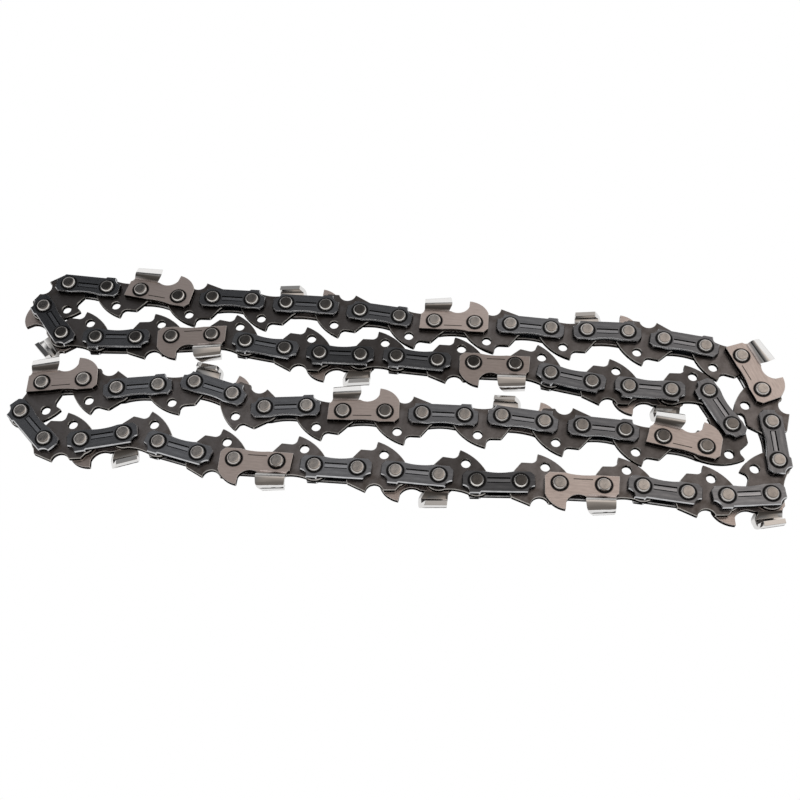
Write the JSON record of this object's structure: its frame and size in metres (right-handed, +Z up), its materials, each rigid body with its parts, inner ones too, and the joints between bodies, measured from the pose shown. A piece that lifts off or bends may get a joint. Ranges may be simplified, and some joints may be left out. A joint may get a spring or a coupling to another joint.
{
  "type": "chainsaw chain loop",
  "caption": "Closed loop of low-profile saw chain lying folded on its side: drive links riveted between tie straps, with left and right cutters by turns.",
  "frame": {"origin": "middle of the folded loop's box, on the surface that it lies on", "axes": "+Z up along every rivet, +X along the folded loop towards its outer turn, -Y towards the picture's viewer"},
  "size_m": [0.1842, 0.0776, 0.0064],
  "materials": {
    "drive_link_steel": "dark, lightly oiled",
    "strap_steel": "blued",
    "cutter_chrome": "satin plating",
    "rivet_steel": "spun heads"
  },
  "bodies": {
    "upper_turn": {"upper_turn_tie_straps": "strap_steel", "upper_turn_rivets": "rivet_steel", "upper_turn_drive_links": "drive_link_steel", "upper_turn_cutters": "cutter_chrome"},
    "top_run_a": {"top_run_a_drive_link": "drive_link_steel", "top_run_a_cutter": "cutter_chrome", "top_run_a_tie_strap": "strap_steel", "top_run_a_rivets": "rivet_steel"},
    "top_run_b": {"top_run_b_drive_link": "drive_link_steel", "top_run_b_tie_straps": "strap_steel", "top_run_b_rivets": "rivet_steel"},
    "top_run_c": {"top_run_c_drive_link": "drive_link_steel", "top_run_c_tie_strap": "strap_steel", "top_run_c_cutter": "cutter_chrome", "top_run_c_rivets": "rivet_steel"},
    "outer_turn": {"outer_turn_drive_links": "drive_link_steel", "outer_turn_tie_straps": "strap_steel", "outer_turn_rivets": "rivet_steel", "outer_turn_cutters": "cutter_chrome"},
    "bottom_run_a": {"bottom_run_a_tie_straps": "strap_steel", "bottom_run_a_rivets": "rivet_steel", "bottom_run_a_drive_link": "drive_link_steel"},
    "bottom_run_b": {"bottom_run_b_cutter": "cutter_chrome", "bottom_run_b_tie_strap": "strap_steel", "bottom_run_b_rivets": "rivet_steel", "bottom_run_b_drive_link": "drive_link_steel"},
    "bottom_run_c": {"bottom_run_c_tie_straps": "strap_steel", "bottom_run_c_rivets": "rivet_steel", "bottom_run_c_drive_link": "drive_link_steel"},
    "lower_turn": {"lower_turn_tie_straps": "strap_steel", "lower_turn_cutters": "cutter_chrome", "lower_turn_rivets": "rivet_steel", "lower_turn_drive_links": "drive_link_steel"},
    "third_run_a": {"third_run_a_drive_link": "drive_link_steel", "third_run_a_cutter": "cutter_chrome", "third_run_a_tie_strap": "strap_steel", "third_run_a_rivets": "rivet_steel"},
    "third_run_b": {"third_run_b_drive_link": "drive_link_steel", "third_run_b_tie_straps": "strap_steel", "third_run_b_rivets": "rivet_steel"},
    "third_run_c": {"third_run_c_drive_link": "drive_link_steel", "third_run_c_tie_strap": "strap_steel", "third_run_c_cutter": "cutter_chrome", "third_run_c_rivets": "rivet_steel"},
    "inner_turn": {"inner_turn_drive_links": "drive_link_steel", "inner_turn_tie_straps": "strap_steel", "inner_turn_rivets": "rivet_steel", "inner_turn_cutters": "cutter_chrome"},
    "second_run_a": {"second_run_a_cutter": "cutter_chrome", "second_run_a_tie_strap": "strap_steel", "second_run_a_rivets": "rivet_steel", "second_run_a_drive_link": "drive_link_steel"},
    "second_run_b": {"second_run_b_tie_straps": "strap_steel", "second_run_b_rivets": "rivet_steel", "second_run_b_drive_link": "drive_link_steel"},
    "second_run_c": {"second_run_c_tie_strap": "strap_steel", "second_run_c_cutter": "cutter_chrome", "second_run_c_rivets": "rivet_steel", "second_run_c_drive_link": "drive_link_steel"}
  },
  "joints": [
    {"name": "inner_turn_to_second_run_a", "type": "hinge", "parent": "inner_turn", "child": "second_run_a", "pos_m": [0.02909, 0.00492, 0.0032], "axis": [0, 0, -1], "range_deg": [0, 30]},
    {"name": "second_run_a_to_second_run_b", "type": "hinge", "parent": "second_run_a", "child": "second_run_b", "pos_m": [0.01057, 0.00702, 0.0032], "axis": [0, 0, -1], "range_deg": [0, 30]},
    {"name": "second_run_b_to_second_run_c", "type": "hinge", "parent": "second_run_b", "child": "second_run_c", "pos_m": [-0.00787, 0.00966, 0.0032], "axis": [0, 0, -1], "range_deg": [-30, 0]},
    {"name": "second_run_c_to_upper_turn", "type": "hinge", "parent": "second_run_c", "child": "upper_turn", "pos_m": [-0.02626, 0.0125, 0.0032], "axis": [0, 0, -1], "range_deg": [-30, 0]},
    {"name": "upper_turn_to_top_run_a", "type": "hinge", "parent": "upper_turn", "child": "top_run_a", "pos_m": [0.00193, 0.02029, 0.0032], "axis": [0, 0, -1], "range_deg": [0, 30]},
    {"name": "top_run_a_to_top_run_b", "type": "hinge", "parent": "top_run_a", "child": "top_run_b", "pos_m": [0.02033, 0.01744, 0.0032], "axis": [0, 0, -1], "range_deg": [0, 30]},
    {"name": "outer_turn_to_top_run_c", "type": "hinge", "parent": "outer_turn", "child": "top_run_c", "pos_m": [0.05729, 0.01271, 0.0032], "axis": [0, 0, -1], "range_deg": [0, 30]},
    {"name": "inner_turn_to_third_run_c", "type": "hinge", "parent": "inner_turn", "child": "third_run_c", "pos_m": [0.03446, -0.01095, 0.0032], "axis": [0, 0, 1], "range_deg": [0, 30]},
    {"name": "third_run_c_to_third_run_b", "type": "hinge", "parent": "third_run_c", "child": "third_run_b", "pos_m": [0.01606, -0.00828, 0.0032], "axis": [0, 0, 1], "range_deg": [0, 30]},
    {"name": "third_run_b_to_third_run_a", "type": "hinge", "parent": "third_run_b", "child": "third_run_a", "pos_m": [-0.00248, -0.00633, 0.0032], "axis": [0, 0, 1], "range_deg": [-30, 0]},
    {"name": "third_run_a_to_lower_turn", "type": "hinge", "parent": "third_run_a", "child": "lower_turn", "pos_m": [-0.0209, -0.00382, 0.0032], "axis": [0, 0, 1], "range_deg": [-30, 0]},
    {"name": "lower_turn_to_bottom_run_c", "type": "hinge", "parent": "lower_turn", "child": "bottom_run_c", "pos_m": [0.00916, -0.02345, 0.0032], "axis": [0, 0, 1], "range_deg": [0, 30]},
    {"name": "bottom_run_c_to_bottom_run_b", "type": "hinge", "parent": "bottom_run_c", "child": "bottom_run_b", "pos_m": [0.02759, -0.02595, 0.0032], "axis": [0, 0, 1], "range_deg": [0, 30]},
    {"name": "bottom_run_b_to_bottom_run_a", "type": "hinge", "parent": "bottom_run_b", "child": "bottom_run_a", "pos_m": [0.04612, -0.0279, 0.0032], "axis": [0, 0, 1], "range_deg": [-30, 0]},
    {"name": "bottom_run_a_to_outer_turn", "type": "hinge", "parent": "bottom_run_a", "child": "outer_turn", "pos_m": [0.06452, -0.03057, 0.0032], "axis": [0, 0, 1], "range_deg": [-30, 0]}
  ],
  "couplings": [
    {"joint": "second_run_a_to_second_run_b", "follows": "inner_turn_to_second_run_a", "ratio": 1},
    {"joint": "second_run_b_to_second_run_c", "follows": "inner_turn_to_second_run_a", "ratio": -1},
    {"joint": "second_run_c_to_upper_turn", "follows": "inner_turn_to_second_run_a", "ratio": -1},
    {"joint": "upper_turn_to_top_run_a", "follows": "inner_turn_to_second_run_a", "ratio": 1},
    {"joint": "top_run_a_to_top_run_b", "follows": "inner_turn_to_second_run_a", "ratio": 1},
    {"joint": "outer_turn_to_top_run_c", "follows": "inner_turn_to_second_run_a", "ratio": 1},
    {"joint": "third_run_c_to_third_run_b", "follows": "inner_turn_to_third_run_c", "ratio": 1},
    {"joint": "third_run_b_to_third_run_a", "follows": "inner_turn_to_third_run_c", "ratio": -1},
    {"joint": "third_run_a_to_lower_turn", "follows": "inner_turn_to_third_run_c", "ratio": -1},
    {"joint": "lower_turn_to_bottom_run_c", "follows": "inner_turn_to_third_run_c", "ratio": 1},
    {"joint": "bottom_run_c_to_bottom_run_b", "follows": "inner_turn_to_third_run_c", "ratio": 1},
    {"joint": "bottom_run_b_to_bottom_run_a", "follows": "inner_turn_to_third_run_c", "ratio": -1},
    {"joint": "bottom_run_a_to_outer_turn", "follows": "inner_turn_to_third_run_c", "ratio": -1}
  ]
}
